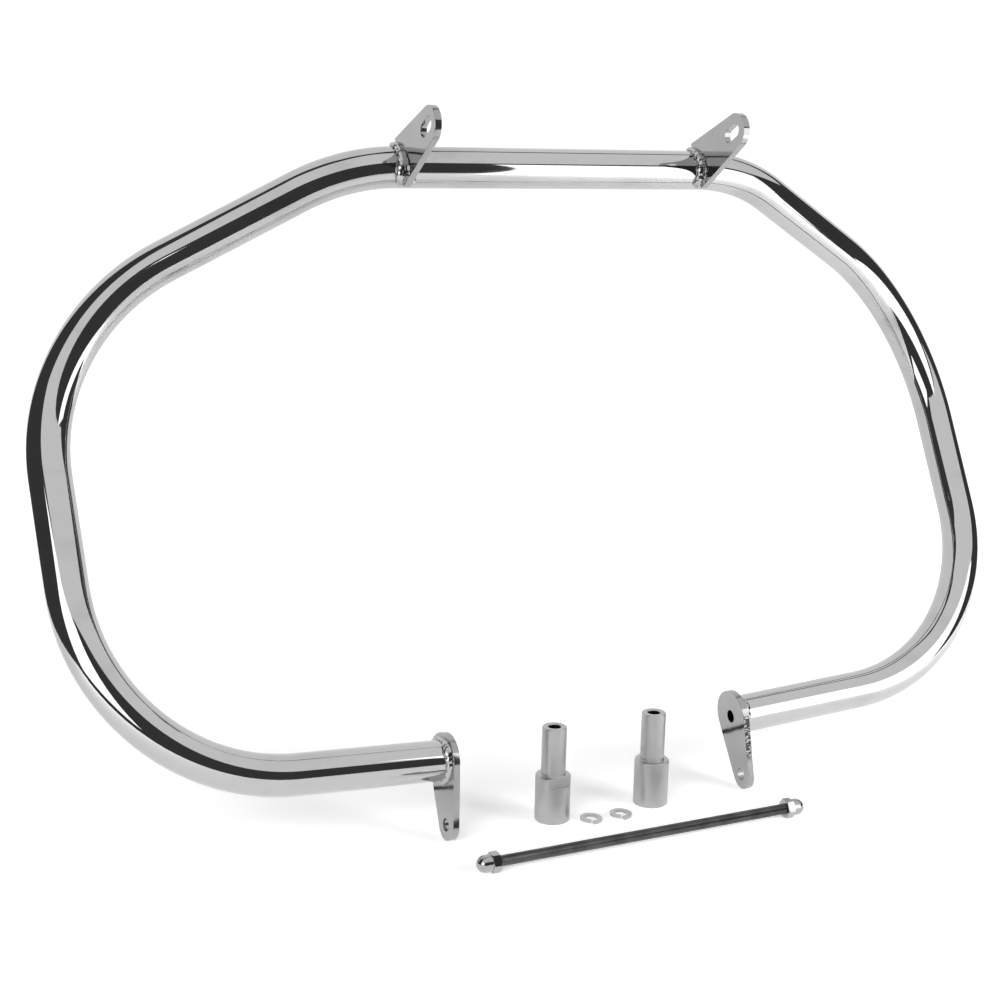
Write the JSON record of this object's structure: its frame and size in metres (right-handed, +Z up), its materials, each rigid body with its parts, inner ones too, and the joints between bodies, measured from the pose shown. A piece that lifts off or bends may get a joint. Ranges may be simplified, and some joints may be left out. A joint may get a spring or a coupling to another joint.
{
  "type": "motorcycle engine guard",
  "caption": "Bent tube engine guard with slotted upper brackets and drilled lower plates welded on, and its loose rod, cap nuts, stepped spacers and spring washers.",
  "frame": {"origin": "middle of the line through the rod holes of the two lower plates", "axes": "+X along the guard's width, through both rod holes; +Z up; -Y towards the side that the slotted bracket tips point to"},
  "size_m": [1.0024, 0.2856, 0.6568],
  "materials": {
    "chrome_tube": "polished chrome plate",
    "chrome_plate": "chrome plate over laser-cut steel plate",
    "chrome_weld": "chrome plate over hand-laid weld beads",
    "zinc_steel": "turned steel, satin zinc plate",
    "dark_steel": "dark threaded steel, lightly oiled",
    "chrome_nut": "bright chrome plate"
  },
  "bodies": {
    "root": {"guard_tube": "chrome_tube", "upper_bracket_left": "chrome_plate", "upper_bracket_right": "chrome_plate", "upper_bracket_welds": "chrome_weld", "lower_plate_left": "chrome_plate", "lower_plate_right": "chrome_plate", "lower_plate_welds": "chrome_weld", "spacer_left": "zinc_steel", "spacer_right": "zinc_steel", "spring_washers": "zinc_steel", "threaded_rod": "dark_steel", "cap_nuts": "chrome_nut"}
  },
  "joints": []
}
